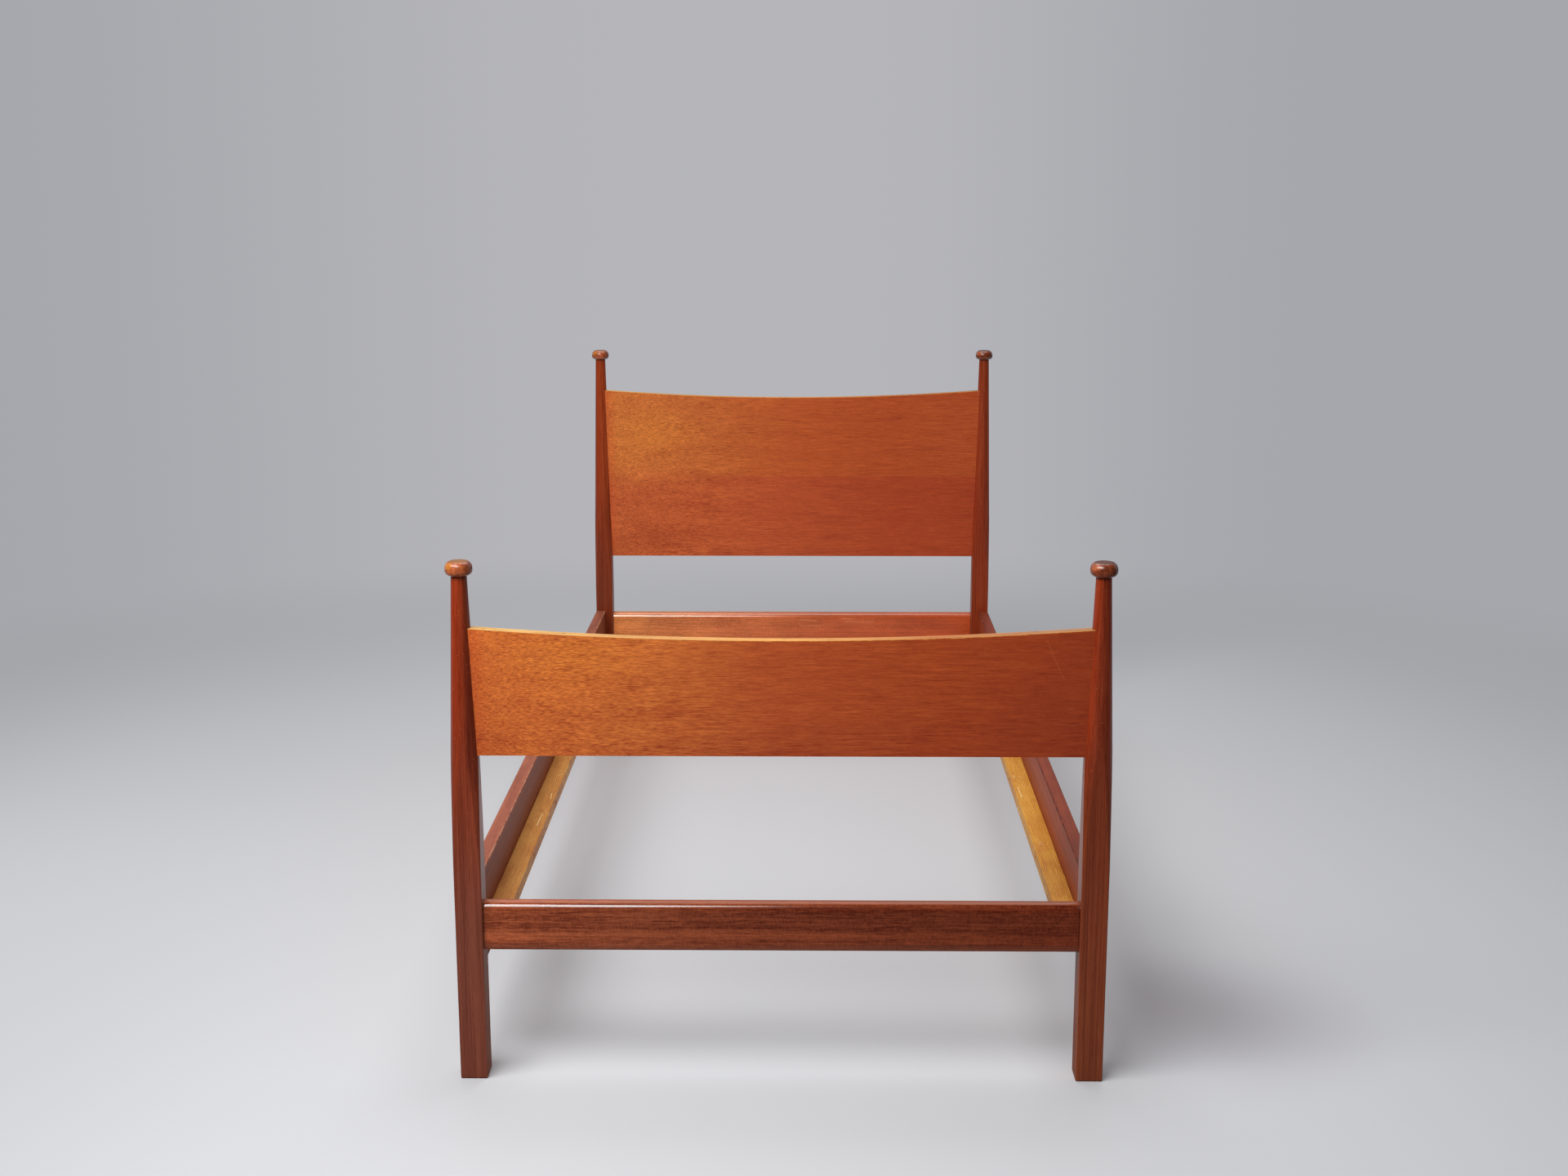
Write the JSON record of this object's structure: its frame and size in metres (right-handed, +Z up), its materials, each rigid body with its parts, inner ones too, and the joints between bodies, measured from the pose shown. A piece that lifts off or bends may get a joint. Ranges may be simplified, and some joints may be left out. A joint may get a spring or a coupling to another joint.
{
  "type": "bed frame",
  "caption": "Single bed frame of square posts tapering to round necks with mushroom finials, thin dished head and foot boards, cross rails and hook-on side rails with ledgers.",
  "frame": {"origin": "centre of the footprint on the floor, midway between the posts", "axes": "+Z up, +Y from the foot end to the head end, +X to the right as seen from the foot end"},
  "size_m": [0.954, 1.974, 0.914],
  "materials": {
    "post_wood": "satin varnished red-brown hardwood, grain along the post",
    "finial_wood": "satin varnished hardwood, worn lighter on the crown",
    "cross_rail_wood": "satin varnished ribbon-striped hardwood",
    "board_veneer": "satin varnished orange-brown veneer, fine level grain",
    "board_core": "plain board core, closed in by veneer and lipping",
    "lipping_wood": "varnished pale lipping",
    "side_rail_wood": "worn satin hardwood",
    "ledger_wood": "bare yellow softwood with knots",
    "plate_steel": "dull pressed steel",
    "screw_steel": "dull steel"
  },
  "bodies": {
    "bed_ends": {"foot_post_left": "post_wood", "foot_post_right": "post_wood", "head_post_left": "post_wood", "head_post_right": "post_wood", "foot_finial_left": "finial_wood", "foot_finial_right": "finial_wood", "head_finial_left": "finial_wood", "head_finial_right": "finial_wood", "foot_cross_rail": "cross_rail_wood", "head_cross_rail": "cross_rail_wood", "footboard_core": "board_core", "footboard_front_veneer": "board_veneer", "footboard_back_veneer": "board_veneer", "footboard_lipping": "lipping_wood", "headboard_core": "board_core", "headboard_front_veneer": "board_veneer", "headboard_back_veneer": "board_veneer", "headboard_lipping": "lipping_wood", "foot_slot_plate_left": "plate_steel", "foot_slot_screws_left": "screw_steel", "head_slot_plate_left": "plate_steel", "head_slot_screws_left": "screw_steel", "foot_slot_plate_right": "plate_steel", "foot_slot_screws_right": "screw_steel", "head_slot_plate_right": "plate_steel", "head_slot_screws_right": "screw_steel"},
    "left_rail": {"side_rail_left": "side_rail_wood", "ledger_left": "ledger_wood", "ledger_screws_left": "screw_steel", "foot_hook_plate_left": "plate_steel", "foot_hook_screws_left": "screw_steel", "head_hook_plate_left": "plate_steel", "head_hook_screws_left": "screw_steel"},
    "right_rail": {"side_rail_right": "side_rail_wood", "ledger_right": "ledger_wood", "ledger_screws_right": "screw_steel", "foot_hook_plate_right": "plate_steel", "foot_hook_screws_right": "screw_steel", "head_hook_plate_right": "plate_steel", "head_hook_screws_right": "screw_steel"}
  },
  "joints": [
    {"name": "left_rail_lift", "type": "slide", "parent": "bed_ends", "child": "left_rail", "axis": [0, 0, 1], "range_m": [0, 0.0078]},
    {"name": "right_rail_lift", "type": "slide", "parent": "bed_ends", "child": "right_rail", "axis": [0, 0, 1], "range_m": [0, 0.0078]}
  ]
}
